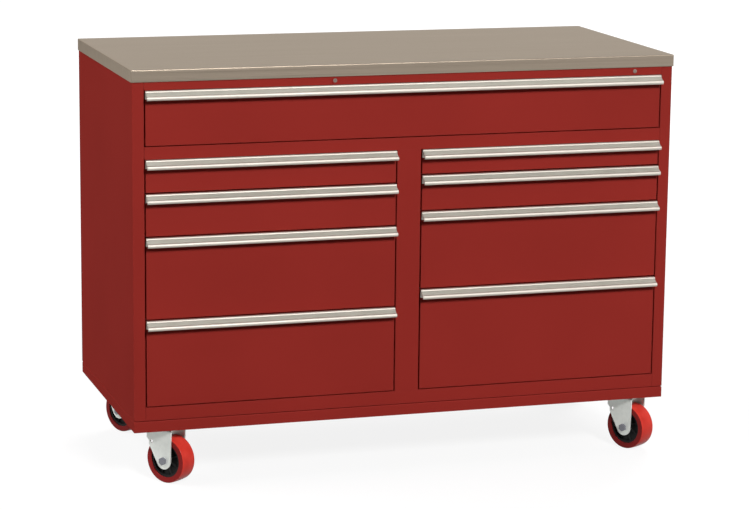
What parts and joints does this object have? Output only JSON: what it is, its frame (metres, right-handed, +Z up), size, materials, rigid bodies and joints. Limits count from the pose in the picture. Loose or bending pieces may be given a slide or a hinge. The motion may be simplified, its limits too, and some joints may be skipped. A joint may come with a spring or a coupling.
{
  "type": "rolling drawer tool cabinet",
  "caption": "Low, wide steel tool cabinet on swivel casters: two banks of drawers under one full-width drawer, full-width pulls and a stainless worktop.",
  "frame": {"origin": "on the floor, under the middle of the cabinet measured with its handles", "axes": "+X to the cabinet's right as seen from the front, +Y to the back, +Z up; the drawers open along -Y"},
  "size_m": [1.53, 0.736, 1.13],
  "materials": {
    "red_paint": "satin powder coat",
    "drawer_paint": "light grey powder coat",
    "handle_aluminium": "satin anodised extrusion",
    "zinc_slide": "bright zinc plate",
    "zinc_caster": "zinc plate",
    "black_hub": "moulded, fine grain",
    "red_tread": "glossy polyurethane",
    "lock_metal": "polished",
    "stainless": "brushed stainless",
    "board": "raw board edges"
  },
  "bodies": {
    "root": {"left_side_panel": "red_paint", "right_side_panel": "red_paint", "back_panel": "red_paint", "base_frame": "red_paint", "front_rails": "red_paint", "centre_divider": "red_paint", "worktop_skin": "stainless", "worktop_core": "board", "caster_plates": "zinc_caster", "fixed_slides": "zinc_slide"},
    "wide_drawer": {"wide_front": "red_paint", "wide_tray": "drawer_paint", "wide_handle": "handle_aluminium"},
    "wide_slide_carriages": {"wide_carriages": "zinc_slide"},
    "left_1_drawer": {"left_1_front": "red_paint", "left_1_tray": "drawer_paint", "left_1_handle": "handle_aluminium"},
    "left_1_slide_carriages": {"left_1_carriages": "zinc_slide"},
    "left_2_drawer": {"left_2_front": "red_paint", "left_2_tray": "drawer_paint", "left_2_handle": "handle_aluminium"},
    "left_2_slide_carriages": {"left_2_carriages": "zinc_slide"},
    "left_3_drawer": {"left_3_front": "red_paint", "left_3_tray": "drawer_paint", "left_3_handle": "handle_aluminium"},
    "left_3_slide_carriages": {"left_3_carriages": "zinc_slide"},
    "left_4_drawer": {"left_4_front": "red_paint", "left_4_tray": "drawer_paint", "left_4_handle": "handle_aluminium"},
    "left_4_slide_carriages": {"left_4_carriages": "zinc_slide"},
    "right_1_drawer": {"right_1_front": "red_paint", "right_1_tray": "drawer_paint", "right_1_handle": "handle_aluminium"},
    "right_1_slide_carriages": {"right_1_carriages": "zinc_slide"},
    "right_2_drawer": {"right_2_front": "red_paint", "right_2_tray": "drawer_paint", "right_2_handle": "handle_aluminium"},
    "right_2_slide_carriages": {"right_2_carriages": "zinc_slide"},
    "right_3_drawer": {"right_3_front": "red_paint", "right_3_tray": "drawer_paint", "right_3_handle": "handle_aluminium"},
    "right_3_slide_carriages": {"right_3_carriages": "zinc_slide"},
    "right_4_drawer": {"right_4_front": "red_paint", "right_4_tray": "drawer_paint", "right_4_handle": "handle_aluminium"},
    "right_4_slide_carriages": {"right_4_carriages": "zinc_slide"},
    "left_lock": {"left_lock_plug": "lock_metal"},
    "right_lock": {"right_lock_plug": "lock_metal"},
    "front_left_fork": {"front_left_yoke": "zinc_caster"},
    "front_left_wheel": {"front_left_hub": "black_hub", "front_left_tread": "red_tread"},
    "front_right_fork": {"front_right_yoke": "zinc_caster"},
    "front_right_wheel": {"front_right_hub": "black_hub", "front_right_tread": "red_tread"},
    "rear_left_fork": {"rear_left_yoke": "zinc_caster"},
    "rear_left_wheel": {"rear_left_hub": "black_hub", "rear_left_tread": "red_tread"},
    "rear_right_fork": {"rear_right_yoke": "zinc_caster"},
    "rear_right_wheel": {"rear_right_hub": "black_hub", "rear_right_tread": "red_tread"}
  },
  "joints": [
    {"name": "wide_drawer_slide", "type": "slide", "parent": "root", "child": "wide_drawer", "axis": [0, -1, 0], "range_m": [0, 0.62]},
    {"name": "wide_carriage_slide", "type": "slide", "parent": "root", "child": "wide_slide_carriages", "axis": [0, -1, 0], "range_m": [0, 0.31]},
    {"name": "left_1_drawer_slide", "type": "slide", "parent": "root", "child": "left_1_drawer", "axis": [0, -1, 0], "range_m": [0, 0.62]},
    {"name": "left_1_carriage_slide", "type": "slide", "parent": "root", "child": "left_1_slide_carriages", "axis": [0, -1, 0], "range_m": [0, 0.31]},
    {"name": "left_2_drawer_slide", "type": "slide", "parent": "root", "child": "left_2_drawer", "axis": [0, -1, 0], "range_m": [0, 0.62]},
    {"name": "left_2_carriage_slide", "type": "slide", "parent": "root", "child": "left_2_slide_carriages", "axis": [0, -1, 0], "range_m": [0, 0.31]},
    {"name": "left_3_drawer_slide", "type": "slide", "parent": "root", "child": "left_3_drawer", "axis": [0, -1, 0], "range_m": [0, 0.62]},
    {"name": "left_3_carriage_slide", "type": "slide", "parent": "root", "child": "left_3_slide_carriages", "axis": [0, -1, 0], "range_m": [0, 0.31]},
    {"name": "left_4_drawer_slide", "type": "slide", "parent": "root", "child": "left_4_drawer", "axis": [0, -1, 0], "range_m": [0, 0.62]},
    {"name": "left_4_carriage_slide", "type": "slide", "parent": "root", "child": "left_4_slide_carriages", "axis": [0, -1, 0], "range_m": [0, 0.31]},
    {"name": "right_1_drawer_slide", "type": "slide", "parent": "root", "child": "right_1_drawer", "axis": [0, -1, 0], "range_m": [0, 0.62]},
    {"name": "right_1_carriage_slide", "type": "slide", "parent": "root", "child": "right_1_slide_carriages", "axis": [0, -1, 0], "range_m": [0, 0.31]},
    {"name": "right_2_drawer_slide", "type": "slide", "parent": "root", "child": "right_2_drawer", "axis": [0, -1, 0], "range_m": [0, 0.62]},
    {"name": "right_2_carriage_slide", "type": "slide", "parent": "root", "child": "right_2_slide_carriages", "axis": [0, -1, 0], "range_m": [0, 0.31]},
    {"name": "right_3_drawer_slide", "type": "slide", "parent": "root", "child": "right_3_drawer", "axis": [0, -1, 0], "range_m": [0, 0.62]},
    {"name": "right_3_carriage_slide", "type": "slide", "parent": "root", "child": "right_3_slide_carriages", "axis": [0, -1, 0], "range_m": [0, 0.31]},
    {"name": "right_4_drawer_slide", "type": "slide", "parent": "root", "child": "right_4_drawer", "axis": [0, -1, 0], "range_m": [0, 0.62]},
    {"name": "right_4_carriage_slide", "type": "slide", "parent": "root", "child": "right_4_slide_carriages", "axis": [0, -1, 0], "range_m": [0, 0.31]},
    {"name": "left_lock_turn", "type": "hinge", "parent": "root", "child": "left_lock", "pos_m": [-0.211, -0.343, 1.087], "axis": [0, 1, 0], "range_deg": [0, 90]},
    {"name": "right_lock_turn", "type": "hinge", "parent": "root", "child": "right_lock", "pos_m": [0.65, -0.343, 1.087], "axis": [0, 1, 0], "range_deg": [0, 90]},
    {"name": "front_left_swivel", "type": "hinge", "parent": "root", "child": "front_left_fork", "pos_m": [-0.672, -0.263, 0.1517], "axis": [0, 0, 1], "continuous": true},
    {"name": "front_left_wheel_spin", "type": "hinge", "parent": "front_left_fork", "child": "front_left_wheel", "pos_m": [-0.65045, -0.29058, 0.0635], "axis": [0.788, 0.6157, 0], "continuous": true},
    {"name": "front_right_swivel", "type": "hinge", "parent": "root", "child": "front_right_fork", "pos_m": [0.672, -0.263, 0.1517], "axis": [0, 0, 1], "continuous": true},
    {"name": "front_right_wheel_spin", "type": "hinge", "parent": "front_right_fork", "child": "front_right_wheel", "pos_m": [0.6895, -0.29331, 0.0635], "axis": [0.866, 0.5, 0], "continuous": true},
    {"name": "rear_left_swivel", "type": "hinge", "parent": "root", "child": "rear_left_fork", "pos_m": [-0.672, 0.288, 0.1517], "axis": [0, 0, 1], "continuous": true},
    {"name": "rear_left_wheel_spin", "type": "hinge", "parent": "rear_left_fork", "child": "rear_left_wheel", "pos_m": [-0.6545, 0.25769, 0.0635], "axis": [0.866, 0.5, 0], "continuous": true},
    {"name": "rear_right_swivel", "type": "hinge", "parent": "root", "child": "rear_right_fork", "pos_m": [0.672, 0.288, 0.1517], "axis": [0, 0, 1], "continuous": true},
    {"name": "rear_right_wheel_spin", "type": "hinge", "parent": "rear_right_fork", "child": "rear_right_wheel", "pos_m": [0.69355, 0.26042, 0.0635], "axis": [0.788, 0.6157, 0], "continuous": true}
  ],
  "couplings": [
    {"joint": "wide_carriage_slide", "follows": "wide_drawer_slide", "ratio": 0.5},
    {"joint": "left_1_carriage_slide", "follows": "left_1_drawer_slide", "ratio": 0.5},
    {"joint": "left_2_carriage_slide", "follows": "left_2_drawer_slide", "ratio": 0.5},
    {"joint": "left_3_carriage_slide", "follows": "left_3_drawer_slide", "ratio": 0.5},
    {"joint": "left_4_carriage_slide", "follows": "left_4_drawer_slide", "ratio": 0.5},
    {"joint": "right_1_carriage_slide", "follows": "right_1_drawer_slide", "ratio": 0.5},
    {"joint": "right_2_carriage_slide", "follows": "right_2_drawer_slide", "ratio": 0.5},
    {"joint": "right_3_carriage_slide", "follows": "right_3_drawer_slide", "ratio": 0.5},
    {"joint": "right_4_carriage_slide", "follows": "right_4_drawer_slide", "ratio": 0.5}
  ]
}
